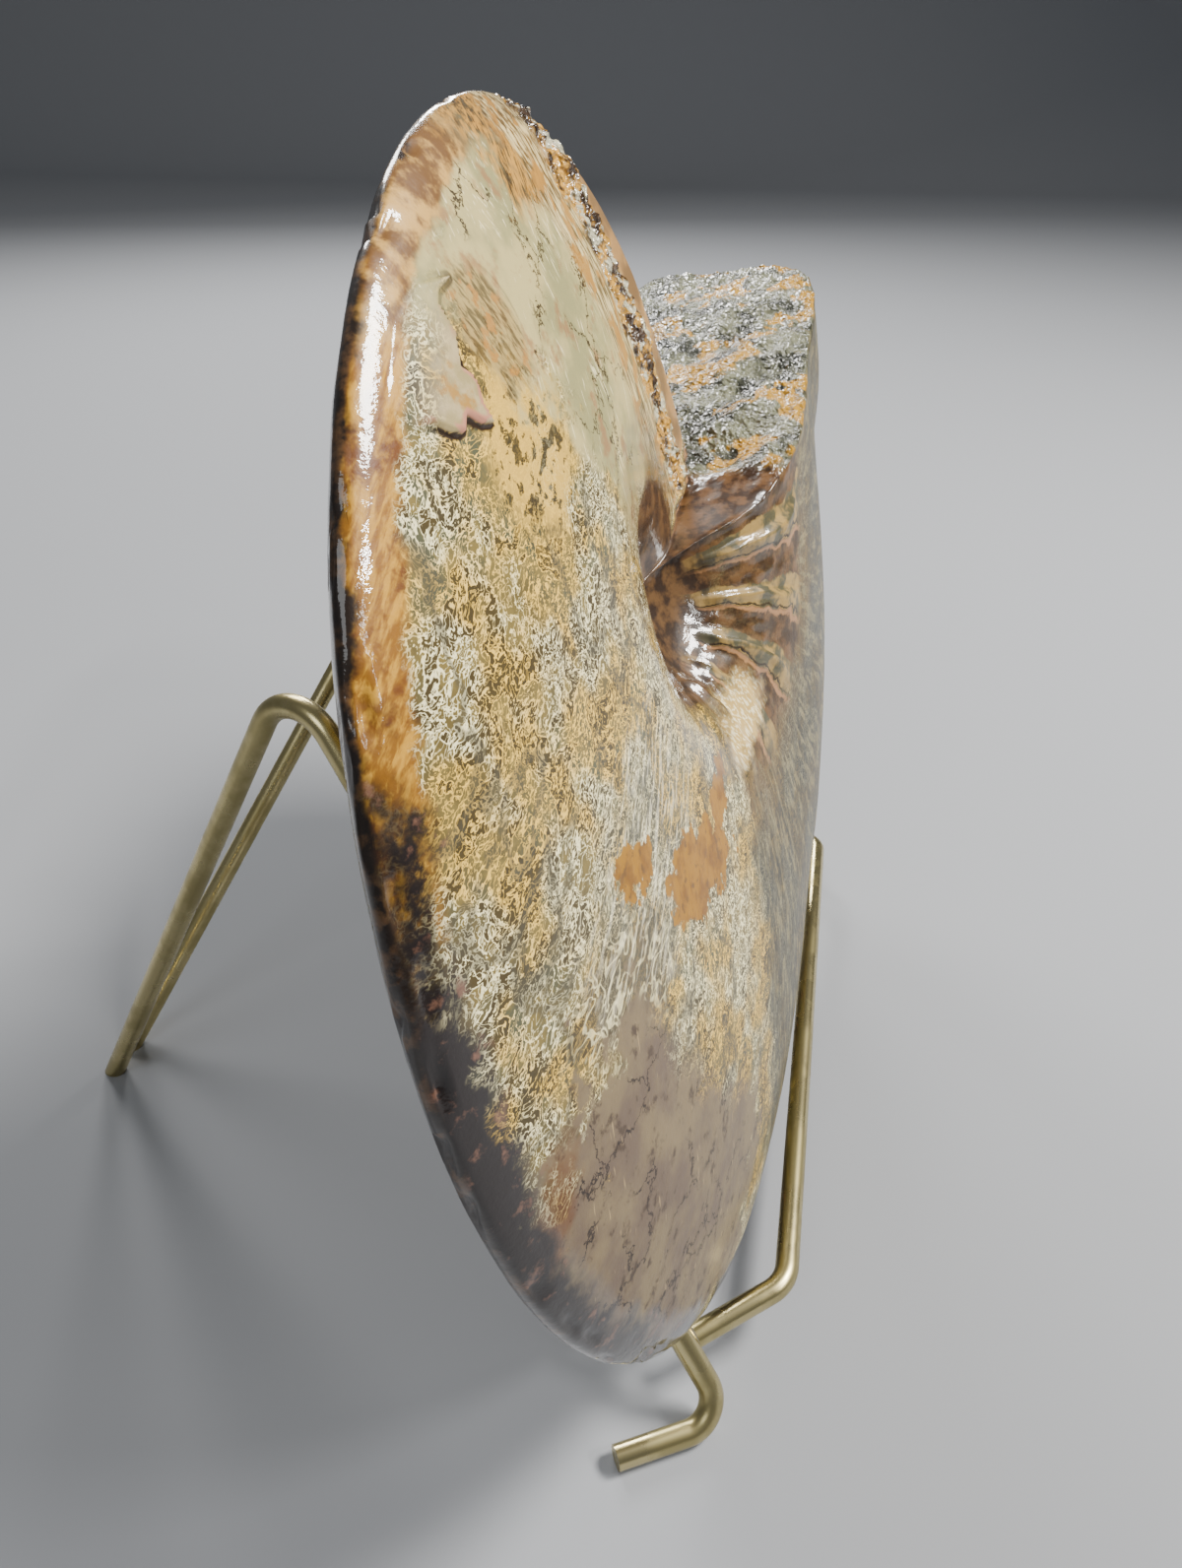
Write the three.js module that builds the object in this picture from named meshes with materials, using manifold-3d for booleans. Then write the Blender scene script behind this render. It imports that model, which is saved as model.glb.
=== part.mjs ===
// A polished ammonite with the iridescent layers of its shell, leaning on a brass wire stand.
// Millimetres. +X runs along the stand's front rail, +Y to the back of the stand, +Z up.
// The origin is at the bottom centre of the whole object.

import * as THREE from 'three';
import { ImprovedNoise } from 'three/addons/math/ImprovedNoise.js';
import { mergeVertices } from 'three/addons/utils/BufferGeometryUtils.js';
import Module from 'manifold-3d';

const wasm = await Module();
wasm.setup();

// ---------------------------------------------------------------------------------------------
// Driving dimensions. Angles of the shell are in degrees, from 12 o'clock and anticlockwise as
// the shell is seen from the front, which is the way that it grew.

// The shell's coil
const START_RADIUS = 80.9; // from the coil's axis to the outer edge at 12 o'clock
const COIL_GROWTH = 0.188; // of the logarithmic spiral, per radian
const FLAT_DEPTH = 0.091; // share of the radius that a flat at the bottom edge takes off
const FLAT_ANGLE = 205;
const FLAT_SPREAD = 38;
const START_THICKNESS = 0.111; // half the thickness at 12 o'clock, as a share of the radius
const THICKENING = 0.00012; // gain of that share per degree
const MOUTH_SHRINK = 0.13; // share of the radius that the last chambers fall short of the spiral
const MOUTH_SHRINK_FROM = 215;
const MOUTH_SWELL = 0.12; // further share of the thickness that the last chambers gain
const MOUTH_SWELL_FROM = 195;
const MOUTH_SWELL_TO = 262;
const MOUTH_FULL_FROM = 240;
const MOUTH_FULLNESS = 0.96; // the outer edge is broad there: share of the thickness
const MOUTH_SQUARENESS = 14; // power of its rounded corners
const MOUTH_FULL_BY = 274;
const BREAK_ANGLE = 280; // where the last chambers have broken away, at the outer edge
const BREAK_SLANT = 3.5; // angle from the outer to the inner edge of the broken face
const BREAK_SKEW = 0.09; // degrees per millimetre by which the back reaches further on

// The straight line where the missing chambers broke off the older whorl that they lay on
const LINE_TOP = new THREE.Vector2(6.5, 79.6); // its upper end, from the coil's axis
const LINE_LEAN = 24.8; // from upright, its lower end outwards
const LINE_BY = 90; // the angle before which it lies
const OLDER_WHORL_SINK = 0.8; // of the outer edge past the line
const OLDER_WHORL_SHARE = 1.24; // the thickness past it, as a share of the younger shell's
const OLDER_WHORL_BLEND = 6; // distance over which it gets it

// The floor and the walls of the umbilicus
const FLOOR_HEIGHT = 1.2;
const FLOOR_SWELL = 0.085; // of the inner whorls, as a share of their radius
const FLOOR_SWELL_FROM = 0.05; // share of their radius
const FLOOR_SWELL_TO = 0.28;
const WALL_TOP = 0.4; // share of the radius
const CHAMBER_ANGLE = 14.7; // between two chamber walls
const CHAMBER_STEP = 1.5; // height of the worn edge of each
const CHAMBERS_SHOW_FROM = 120;
const CHAMBERS_SHOW_FULLY = 200;

// The surface
const DENT_DEPTH = 0.7;
const DENT_LENGTH = 15; // degrees at the outer edge
const DENT_WIDTH = 0.18; // share of the radius
const RIDGE_START = -5; // of the ridge along the line, past it
const RIDGE_CREST = -0.5;
const RIDGE_END = 3;
const RIDGE_HEIGHT = 1.7;
const RIDGE_LUMP = 2.2;
const RIDGE_LUMP_LENGTH = 4;
const GROOVE_START = 1; // of the groove past the ridge
const GROOVE_MIDDLE = 4;
const GROOVE_END = 10;
const GROOVE_DEPTH = 1.3;
const KEEL_FROM = 0.9; // share of the radius where bumps turn from the flank to the keel
const KEEL_BUMP = 0.35; // share of their height that they keep there
const THINNEST = 0.4; // half thickness that is left anywhere

// The broken face
const FACE_LUMP = 3.2;
const FACE_LUMP_LENGTH = 9;
const FACE_FRILL = 1.6; // of the chamber wall's folds
const FACE_FRILL_LENGTH = 5;
const FACE_ROUGH_FROM = 20; // from the axis
const FACE_ROUGH_FULLY = 45;

// The shell's place on the stand
const COIL_CENTRE = new THREE.Vector3(65.4, 34.1, 138.7); // from the near front foot's bend
const LEAN_BACK = 13.84;
const YAW = -2.2;

// The stand
const WIRE_DIAMETER = 4.8;
const WIRE_SIDES = 10;
const FOOT_FLAT = 0.25; // worn off the underside of the feet
const LOOP_RADIUS = 9.9; // of the side frames' top loops, at the wire's centre
const FOOT_BEND = 6;
const RAIL_BEND = 8;

const WIRE_RADIUS = WIRE_DIAMETER / 2;
const WIRE_REST = WIRE_RADIUS - FOOT_FLAT; // height of the centre of a wire that lies down

// ---------------------------------------------------------------------------------------------
// The ammonite

const radians = THREE.MathUtils.degToRad;
const { lerp, smoothstep } = THREE.MathUtils;
const noise = new ImprovedNoise();

// One flank of a whorl, from the seam at the umbilicus to the keel: share of the radius, and
// share of the greatest half thickness.
const flank = new THREE.SplineCurve([
  new THREE.Vector2(0.09, 0.2),
  new THREE.Vector2(0.13, 0.55),
  new THREE.Vector2(0.2, 0.86),
  new THREE.Vector2(0.3, 0.98),
  new THREE.Vector2(0.42, 1.0),
  new THREE.Vector2(0.55, 0.97),
  new THREE.Vector2(0.68, 0.86),
  new THREE.Vector2(0.8, 0.69),
  new THREE.Vector2(0.89, 0.49),
  new THREE.Vector2(0.95, 0.33),
  new THREE.Vector2(0.985, 0.17),
  new THREE.Vector2(1.0, 0.05),
]);
const FLANK_STEPS = 19;
const FLOOR_STEPS = 3;
const STEP = 4.9; // degrees between two sections
const FINE_STEP = 3; // and where the line of the break crosses them

// 1 at the middle of a stretch of angles, and 0 at and past its two ends
function hump(angle, start, middle, end) {
  return smoothstep(angle, start, middle) * (1 - smoothstep(angle, middle, end));
}

function coilRadius(angle) {
  const dent = FLAT_DEPTH * Math.exp(-(((angle - FLAT_ANGLE) / FLAT_SPREAD) ** 2));
  const shrink = MOUTH_SHRINK * smoothstep(angle, MOUTH_SHRINK_FROM, BREAK_ANGLE);
  return START_RADIUS * Math.exp(COIL_GROWTH * radians(angle)) * (1 - dent - shrink);
}

function halfThickness(angle) {
  const share = START_THICKNESS + THICKENING * angle;
  const swell = MOUTH_SWELL * smoothstep(angle, MOUTH_SWELL_FROM, MOUTH_SWELL_TO);
  return coilRadius(angle) * share * (1 + swell);
}

// Half thickness of the inner whorls at a distance from the axis: the floor of the umbilicus
function floorHeight(distance, angle) {
  const inner = coilRadius(angle - 360);
  const swell = smoothstep(distance / inner, FLOOR_SWELL_FROM, FLOOR_SWELL_TO);
  return FLOOR_HEIGHT + FLOOR_SWELL * inner * swell;
}

// How far a point lies past the line of the break; far behind it on the rest of the coil
function pastLine(distance, angle) {
  if (angle > LINE_BY) {
    return -LINE_TOP.y;
  }
  const x = -distance * Math.sin(radians(angle)) - LINE_TOP.x;
  const y = distance * Math.cos(radians(angle)) - LINE_TOP.y;
  return x * Math.cos(radians(LINE_LEAN)) + y * Math.sin(radians(LINE_LEAN));
}

// One side of a section across the whorls, from the axis to the keel: distance from the axis and
// height over the middle plane.
function sectionSide(angle) {
  const older = (distance) => smoothstep(pastLine(distance, angle), 0, OLDER_WHORL_BLEND);
  const radius = coilRadius(angle) - OLDER_WHORL_SINK * older(coilRadius(angle));
  const outline = flank.getPoints(FLANK_STEPS).map((point) => {
    const distance = point.x * radius;
    const thickness = halfThickness(angle) * lerp(1, OLDER_WHORL_SHARE, older(distance));
    if (point.x < WALL_TOP) {
      const height = Math.max(point.y * thickness, floorHeight(distance, angle));
      return new THREE.Vector2(distance, height);
    }
    const round = MOUTH_FULLNESS * Math.sqrt(1 - point.x ** MOUTH_SQUARENESS);
    const blunt = round * smoothstep(angle, MOUTH_FULL_FROM, MOUTH_FULL_BY);
    return new THREE.Vector2(distance, Math.max(point.y, blunt) * thickness);
  });
  const seam = outline[0].x;
  const floor = [];
  for (let i = 0; i < FLOOR_STEPS; i += 1) {
    const distance = (seam * i) / FLOOR_STEPS;
    floor.push(new THREE.Vector2(distance, floorHeight(distance, angle)));
  }
  return floor.concat(outline);
}

// The ridge of broken and crystalline rock along the line and the groove past it, the chambers'
// worn edges on the umbilical wall, and the gentle dents of the whole surface: height over the
// smooth shell.
function relief(angle, share, side, past) {
  const along = (angle * share) / DENT_LENGTH;
  const dents = DENT_DEPTH * noise.noise(along, share / DENT_WIDTH, side * 3.1);
  const onRidge = (share * coilRadius(angle)) / RIDGE_LUMP_LENGTH;
  const lump = RIDGE_LUMP * noise.noise(past / RIDGE_LUMP_LENGTH, onRidge, side + 5.5);
  const ridge = hump(past, RIDGE_START, RIDGE_CREST, RIDGE_END) * (RIDGE_HEIGHT + lump);
  const groove = hump(past, GROOVE_START, GROOVE_MIDDLE, GROOVE_END) * GROOVE_DEPTH;
  const chamber = (((angle + 360) / CHAMBER_ANGLE) % 1) - 0.5;
  const shown = smoothstep(angle, CHAMBERS_SHOW_FROM, CHAMBERS_SHOW_FULLY);
  const ledges = hump(share, 0.1, 0.18, 0.3) * shown * CHAMBER_STEP * chamber;
  return smoothstep(share, 0.1, 0.2) * (dents + ridge - groove) + ledges;
}

// A closed loop of points across the shell: up the front flank, over the keel, down the back
function ring(angle) {
  const side = sectionSide(angle);
  const radius = side[side.length - 1].x;
  const loop = [];
  for (const face of [1, -1]) {
    const points = side.map((point) => {
      const share = point.x / radius;
      const keel = smoothstep(share, KEEL_FROM, 1);
      const bump = relief(angle, share, face, pastLine(point.x, angle));
      const height = face * Math.max(point.y + bump * (1 - keel), THINNEST);
      return { distance: point.x + bump * keel * KEEL_BUMP, height, angle };
    });
    loop.push(...(face > 0 ? points : points.reverse()));
  }
  return loop;
}

// Loops between the two edges of the broken face, with the lumps of its crystals
const FACE_LOOPS = 9;

function brokenFace(outer, inner) {
  const loops = [];
  for (let i = 1; i < FACE_LOOPS; i += 1) {
    const share = i / FACE_LOOPS;
    loops.push(outer.map((point, k) => {
      const distance = lerp(point.distance, inner[k].distance, share);
      const height = lerp(point.height, inner[k].height, share);
      const [x, y] = [distance / FACE_LUMP_LENGTH, height / FACE_LUMP_LENGTH];
      const lump = FACE_LUMP * noise.noise(x, y, 8.3);
      const frill = FACE_FRILL * Math.sin(distance / FACE_FRILL_LENGTH + Math.sin(y * 2));
      const within = Math.sin(share * Math.PI);
      const rough = within * smoothstep(distance, FACE_ROUGH_FROM, FACE_ROUGH_FULLY) * (lump + frill);
      const turn = THREE.MathUtils.radToDeg(rough / Math.max(distance, FACE_ROUGH_FROM));
      return { distance, height, angle: lerp(point.angle, BREAK_ANGLE + BREAK_SLANT, share) + turn };
    }));
  }
  return loops;
}

function ammoniteGeometry() {
  const first = BREAK_ANGLE + BREAK_SLANT - 360;
  const angles = [first];
  for (let angle = -74; angle < 8; angle += FINE_STEP) {
    angles.push(angle);
  }
  for (let angle = 10; angle < BREAK_ANGLE - 3; angle += STEP) {
    angles.push(angle);
  }
  angles.push(BREAK_ANGLE);
  const loops = angles.map(ring);
  loops[loops.length - 1].forEach((point) => {
    point.angle += BREAK_SKEW * Math.max(-point.height, 0);
  });
  loops.push(...brokenFace(loops[loops.length - 1], loops[0]));

  const yaw = radians(YAW);
  const lean = radians(LEAN_BACK);
  const along = new THREE.Vector3(Math.cos(yaw), Math.sin(yaw), 0);
  const front = new THREE.Vector3(Math.sin(yaw), -Math.cos(yaw), 0);
  const up = new THREE.Vector3(0, 0, Math.cos(lean)).addScaledVector(front, -Math.sin(lean));
  const normal = front.clone().multiplyScalar(Math.cos(lean));
  normal.z += Math.sin(lean);

  const positions = [];
  const place = ({ distance, height, angle }) => {
    const turn = radians(angle);
    const point = COIL_CENTRE.clone()
      .addScaledVector(along, -distance * Math.sin(turn))
      .addScaledVector(up, distance * Math.cos(turn))
      .addScaledVector(normal, height);
    positions.push(point.x, point.y, point.z);
  };
  const size = loops[0].length;
  place(loops[0][0]);
  place(loops[0][size - 1]);
  loops.forEach((loop) => loop.slice(1, -1).forEach(place));

  const vertex = (loop, k) => {
    if (k === 0) {
      return 0;
    }
    return k === size - 1 ? 1 : 2 + (loop % loops.length) * (size - 2) + k - 1;
  };
  const triangles = [];
  loops.forEach((_, i) => {
    for (let k = 0; k < size - 1; k += 1) {
      const [a, b] = [vertex(i, k), vertex(i, k + 1)];
      const [c, d] = [vertex(i + 1, k + 1), vertex(i + 1, k)];
      if (k > 0) {
        triangles.push(a, c, d);
      }
      if (k < size - 2) {
        triangles.push(a, b, c);
      }
    }
  });
  const geometry = new THREE.BufferGeometry();
  geometry.setAttribute('position', new THREE.Float32BufferAttribute(positions, 3));
  geometry.setIndex(triangles);
  geometry.computeVertexNormals();
  return geometry;
}

// ---------------------------------------------------------------------------------------------
// The stand's wires

// A path that is sampled at its own points alone: straight runs need none between their ends
class BentWire extends THREE.Curve {
  constructor(points) {
    super();
    this.points = points;
  }

  getPoint(t) {
    const place = t * (this.points.length - 1);
    const i = Math.min(Math.floor(place), this.points.length - 2);
    return this.points[i].clone().lerp(this.points[i + 1], place - i);
  }

  getUtoTmapping(u) {
    return u;
  }
}

// A round wire through the given corners, each with the radius of its bend
function wire(corners) {
  const points = [];
  corners.forEach(({ at, bend }, i) => {
    if (!bend) {
      points.push(at);
      return;
    }
    const back = corners[i - 1].at.clone().sub(at).normalize();
    const on = corners[i + 1].at.clone().sub(at).normalize();
    const reach = bend / Math.tan(back.angleTo(on) / 2);
    const middle = back.clone().add(on).normalize();
    const centre = at.clone().addScaledVector(middle, bend / Math.sin(back.angleTo(on) / 2));
    const start = at.clone().addScaledVector(back, reach).sub(centre);
    const end = at.clone().addScaledVector(on, reach).sub(centre);
    const sweep = start.angleTo(end);
    const axis = start.clone().cross(end).normalize();
    const steps = Math.ceil(sweep / radians(22.5));
    for (let k = 0; k <= steps; k += 1) {
      points.push(start.clone().applyAxisAngle(axis, (sweep * k) / steps).add(centre));
    }
  });
  const section = new THREE.Shape();
  section.absarc(0, 0, WIRE_RADIUS, 0, Math.PI * 2, false);
  const geometry = new THREE.ExtrudeGeometry(section, {
    steps: points.length - 1,
    curveSegments: WIRE_SIDES,
    extrudePath: new BentWire(points),
  });
  return onTheGround(geometry);
}

function solid(geometry) {
  const bare = geometry.clone();
  bare.deleteAttribute('normal');
  bare.deleteAttribute('uv');
  const merged = mergeVertices(bare, 1e-4);
  const vertProperties = merged.attributes.position.array;
  const triVerts = new Uint32Array(merged.index.array);
  return new wasm.Manifold(new wasm.Mesh({ numProp: 3, vertProperties, triVerts }));
}

// Takes off what reaches below the ground, which leaves the feet flat
function onTheGround(geometry) {
  const ground = new THREE.BoxGeometry(800, 800, 20).translate(0, 0, -10);
  const mesh = solid(geometry).subtract(solid(ground)).getMesh();
  const cut = new THREE.BufferGeometry();
  cut.setAttribute('position', new THREE.Float32BufferAttribute(mesh.vertProperties, 3));
  cut.setIndex(Array.from(mesh.triVerts));
  cut.computeVertexNormals();
  return cut;
}

// Places on the stand, from the near front foot's bend
const at = (x, y, z) => new THREE.Vector3(x, y, z);
const NEAR_FOOT = at(0, 0, WIRE_REST);
const NEAR_TOE = at(-11.5, 19.8, WIRE_REST);
const NEAR_TOP = at(48.2, 92.3, 128.9);
const NEAR_HEEL = at(61.4, 164.7, -1);
const FAR_FOOT = at(197, -8, WIRE_REST);
const FAR_TOE = at(209.5, 11.2, WIRE_REST);
const FAR_TOP = at(150, 98.3, 127);
const FAR_HEEL = at(69.2, 165.2, -1);
const RAIL_START = at(9.7, 8.3, 11.2);
const RAIL_NEAR_CORNER = at(23.1, -8.4, 13.8);
const RAIL_FAR_CORNER = at(179.5, -8.4, 13.8);
const RAIL_END = at(187.9, 0.8, 11.2);

const sideFrame = (toe, foot, top, heel) => wire([
  { at: toe },
  { at: foot, bend: FOOT_BEND },
  { at: top, bend: LOOP_RADIUS },
  { at: heel },
]);

// ---------------------------------------------------------------------------------------------
// The assembly

const brass = new THREE.MeshStandardMaterial({ color: 0xc9a95c, roughness: 0.3, metalness: 1 });
const fossilShell = new THREE.MeshStandardMaterial({ color: 0x8a7452, roughness: 0.15 });

function piece(name, geometry, material) {
  const mesh = new THREE.Mesh(geometry, material);
  mesh.name = name;
  return mesh;
}

const specimen = new THREE.Group();
specimen.add(
  piece('ammonite', ammoniteGeometry(), fossilShell),
  piece('near_side_frame', sideFrame(NEAR_TOE, NEAR_FOOT, NEAR_TOP, NEAR_HEEL), brass),
  piece('far_side_frame', sideFrame(FAR_TOE, FAR_FOOT, FAR_TOP, FAR_HEEL), brass.clone()),
  piece('front_rail', wire([
    { at: RAIL_START },
    { at: RAIL_NEAR_CORNER, bend: RAIL_BEND },
    { at: RAIL_FAR_CORNER, bend: RAIL_BEND },
    { at: RAIL_END },
  ]), brass.clone()),
);

const extent = new THREE.Box3().setFromObject(specimen);
const middle = extent.getCenter(new THREE.Vector3());
specimen.position.set(-middle.x, -middle.y, 0);

export default specimen;
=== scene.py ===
"""A polished ammonite in the bright layers of its shell, leaning on a brass wire stand."""
import math

import bpy
from mathutils import Euler, Matrix, Vector, noise


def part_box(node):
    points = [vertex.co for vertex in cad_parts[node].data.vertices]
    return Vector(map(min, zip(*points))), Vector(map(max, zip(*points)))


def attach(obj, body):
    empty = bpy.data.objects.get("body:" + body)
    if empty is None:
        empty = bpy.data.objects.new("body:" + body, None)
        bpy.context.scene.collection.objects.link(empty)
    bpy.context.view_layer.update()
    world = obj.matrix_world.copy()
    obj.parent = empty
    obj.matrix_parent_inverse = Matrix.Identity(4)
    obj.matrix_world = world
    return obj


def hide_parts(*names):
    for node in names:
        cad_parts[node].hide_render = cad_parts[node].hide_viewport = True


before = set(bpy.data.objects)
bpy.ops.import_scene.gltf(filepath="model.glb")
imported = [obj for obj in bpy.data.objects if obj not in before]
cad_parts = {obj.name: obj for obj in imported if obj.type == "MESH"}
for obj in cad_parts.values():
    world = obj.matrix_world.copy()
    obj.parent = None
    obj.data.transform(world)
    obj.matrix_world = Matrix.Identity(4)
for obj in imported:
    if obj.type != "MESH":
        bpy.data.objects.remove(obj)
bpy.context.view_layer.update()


# ----------------------------------------------------------------------------------------------
# The camera: at the near end of the stand and above it, so that the shell is seen almost
# along its flank.
CAMERA_FROM_NEAR_FRAME = Vector((-0.11593, -0.00062, 0.2240))
CAMERA_LOOKS = Vector((0.83132, 0.16762, -0.52992))
CAMERA_LENS = 27.136

near_frame_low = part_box("near_side_frame")[0]
bpy.ops.object.camera_add(location=near_frame_low + CAMERA_FROM_NEAR_FRAME)
camera = bpy.context.object
camera.name = "camera"
camera.rotation_euler = CAMERA_LOOKS.to_track_quat("-Z", "Y").to_euler()
camera.data.lens = CAMERA_LENS
camera.data.clip_start = 0.01
bpy.context.scene.camera = camera


# ----------------------------------------------------------------------------------------------
# The studio: a pale sweep of matt paper under the stand and up behind it, soft boxes over the
# front, the near end and the back, and a dim room.
FLOOR_REACH = 3.0
SWEEP_BEND = 0.8
SWEEP_HEIGHT = 2.4
PAPER = (0.31, 0.32, 0.34, 1)
LIT_POINT = Vector((0, 0, 0.12))
ROOM = (0.5, 0.52, 0.55, 1)
ROOM_STRENGTH = 0.3


def pick_nothing():
    for other in bpy.context.selected_objects:
        other.select_set(False)


def pick_edges(piece, test):
    """Selects the edges, and nothing else, whose two ends pass the test."""
    for part in (piece.data.vertices, piece.data.edges, piece.data.polygons):
        for element in part:
            element.select = False
    for edge in piece.data.edges:
        edge.select = all(test(piece.data.vertices[v].co) for v in edge.vertices)


pick_nothing()
bpy.ops.mesh.primitive_plane_add(size=2 * FLOOR_REACH)
floor = bpy.context.object
floor.name = "floor"
pick_edges(floor, lambda end: end.x > 0)
bpy.ops.object.mode_set(mode="EDIT")
bpy.ops.mesh.select_mode(type="EDGE")
bpy.ops.mesh.extrude_region_move(TRANSFORM_OT_translate={"value": (0, 0, SWEEP_HEIGHT)})
bpy.ops.object.mode_set(mode="OBJECT")
pick_edges(floor, lambda end: end.x > 0 and end.z < SWEEP_HEIGHT / 2)
bpy.ops.object.mode_set(mode="EDIT")
bpy.ops.mesh.bevel(offset=SWEEP_BEND, segments=24)
bpy.ops.object.mode_set(mode="OBJECT")
bpy.ops.object.shade_smooth()
paper = bpy.data.materials.new("matt_paper")
paper.use_nodes = True
paper.node_tree.nodes["Principled BSDF"].inputs["Base Color"].default_value = PAPER
paper.node_tree.nodes["Principled BSDF"].inputs["Roughness"].default_value = 0.9
paper.node_tree.nodes["Principled BSDF"].inputs["Specular IOR Level"].default_value = 0.1
floor.data.materials.append(paper)


def soft_box(name, place, size, power, tint):
    """A box of light that points at the shell: its size in metres and power in watts."""
    bpy.ops.object.light_add(type="AREA", location=place)
    box = bpy.context.object
    box.name = name
    towards = LIT_POINT - Vector(place)
    box.rotation_euler = towards.to_track_quat("-Z", "Y").to_euler()
    box.data.shape = "RECTANGLE"
    box.data.size, box.data.size_y = size
    box.data.energy = power
    box.data.color = tint


soft_box("front_box", (0.25, -0.75, 0.95), (0.4, 0.25), 29, (1, 0.97, 0.92))
soft_box("rim_box", (-0.11, -1.12, 0.92), (0.24, 0.05), 6, (1, 0.98, 0.96))
soft_box("low_front_box", (-0.36, -1.12, 0.74), (0.05, 0.3), 1, (1, 0.97, 0.92))
soft_box("back_box", (0.95, 0.66, 1.05), (0.35, 0.5), 12, (1, 0.98, 0.95))
soft_box("far_box", (1.26, 0.37, 0.8), (0.3, 0.3), 10, (1, 0.99, 0.97))
soft_box("near_box", (-1.2, 0.3, 1.3), (0.7, 0.7), 5, (0.95, 0.98, 1))
room = bpy.context.scene.world or bpy.data.worlds.new("room")
bpy.context.scene.world = room
room.use_nodes = True
room.node_tree.nodes["Background"].inputs["Color"].default_value = ROOM
room.node_tree.nodes["Background"].inputs["Strength"].default_value = ROOM_STRENGTH


# ----------------------------------------------------------------------------------------------
# The ammonite: one stone, ground and polished on its flanks. It is the solid of the frame made
# round, with the crystals of its two breaks, the worn chamber walls round the umbilicus and the
# small dents of its polish raised on it.
MM = 0.001
STAND_FROM_NEAR_FRAME = Vector((0.013573, -0.001285, 0))  # the near front foot's bend
COIL_CENTRE = Vector((0.0654, 0.0341, 0.1387))  # from that bend
LEAN_BACK = 13.84
YAW = -2.2

# The coil, in millimetres and in degrees anticlockwise from 12 o'clock
START_RADIUS = 80.9
COIL_GROWTH = 0.188  # per radian
FLAT_DEPTH = 0.091  # share of the radius that the flat at the bottom edge takes off
FLAT_ANGLE = 205
FLAT_SPREAD = 38
MOUTH_SHRINK = 0.13  # share of the radius that the last chambers fall short
MOUTH_SHRINK_FROM = 215
BREAK_ANGLE = 280  # where the last chambers have broken away
BREAK_SKEW = 0.09  # degrees per millimetre towards the back
OLD_WHORL_FROM = -73
LINE_TOP = (6.5, 79.6)  # of the straight break at the top, from the coil's axis
LINE_LEAN = math.radians(24.8)
LINE_BY = 90

# What stands on it: heights and sizes in millimetres
DENT_HEIGHT = 0.09
DENT_SIZE = 9
RIPPLE_HEIGHT = 0.04
RIPPLE_SIZE = 2.2
RIDGE_CRUST = ((1.1, 2.6), (0.5, 1.3))  # height and size of its large and small crystals
RIDGE_SINK = 0.5
FACE_CRUST = ((1.0, 3.2), (0.5, 1.5))
LEDGE_SIZE = 14
LEDGE_SINK = 1.1
CHAMBER_WALL = 270  # angle of one of the chamber walls
CHAMBER_ANGLE = 22.3
LIP_HEIGHT = 2
LIP_CHIPS = 0.6
NICK_DEPTH = 0.8
FLAKE_HEIGHT = 0.8
FLAKE_EDGE = [
    (-53, 63), (-56.7, 62.2), (-58.3, 61), (-58.5, 57.4), (-60.7, 54.5), (-59.2, 52), (-60.1, 49.6),
    (-59.4, 47), (-62, 47.6), (-64.7, 49.4), (-66.4, 47.8), (-68.5, 48.6), (-70.9, 50.4),
    (-73.4, 50.8), (-75.5, 53.6), (-71.8, 57), (-67, 61), (-60, 63.6)]
FLAKE_FAR = 9  # stands for any distance from its edge that is no longer of use

stand_origin = near_frame_low + STAND_FROM_NEAR_FRAME
coil_centre = stand_origin + COIL_CENTRE
disc_turn = Euler((-math.radians(LEAN_BACK), 0, math.radians(YAW)))
to_disc = Matrix.LocRotScale(coil_centre, disc_turn, None).inverted()


def smooth(value, low, high):
    """0 up to low, 1 from high on and a smooth slope between; low may be the greater."""
    share = min(max((value - low) / (high - low), 0), 1)
    return share * share * (3 - 2 * share)


def coil_radius(angle):
    flat = FLAT_DEPTH * math.exp(-(((angle - FLAT_ANGLE) / FLAT_SPREAD) ** 2))
    shrink = MOUTH_SHRINK * smooth(angle, MOUTH_SHRINK_FROM, BREAK_ANGLE)
    return START_RADIUS * math.exp(COIL_GROWTH * math.radians(angle)) * (1 - flat - shrink)


def place_on_coil(point):
    """Angle from 12 o'clock, share of the whorl's radius, height over the middle plane to the
    front, and distance past the line of the break at the top."""
    spot = to_disc @ point / MM
    angle = math.degrees(math.atan2(-spot.x, spot.z))
    if angle < OLD_WHORL_FROM:
        angle += 360
    share = math.hypot(spot.x, spot.z) / coil_radius(angle)
    across = (spot.x - LINE_TOP[0]) * math.cos(LINE_LEAN)
    past_line = across + (spot.z - LINE_TOP[1]) * math.sin(LINE_LEAN)
    return angle, share, -spot.y, past_line if angle < LINE_BY else -LINE_TOP[1]


def pick_vertices(piece, test):
    """Selects the vertices, and nothing else, that pass the test."""
    for part in (piece.data.edges, piece.data.polygons):
        for element in part:
            element.select = False
    for vertex in piece.data.vertices:
        vertex.select = test(vertex)


pick_nothing()
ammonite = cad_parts["ammonite"].copy()
ammonite.data = ammonite.data.copy()
ammonite.name = "ammonite_shell"
for key in list(ammonite.keys()):
    del ammonite[key]
ammonite.parent = None
bpy.context.scene.collection.objects.link(ammonite)
bpy.context.view_layer.objects.active = ammonite
ammonite.select_set(True)
bpy.ops.object.mode_set(mode="EDIT")
bpy.ops.mesh.select_all(action="SELECT")
bpy.ops.mesh.remove_doubles(threshold=0.00002)
alike = math.radians(70)
bpy.ops.mesh.tris_convert_to_quads(face_threshold=alike, shape_threshold=alike)
bpy.ops.object.mode_set(mode="OBJECT")

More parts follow.
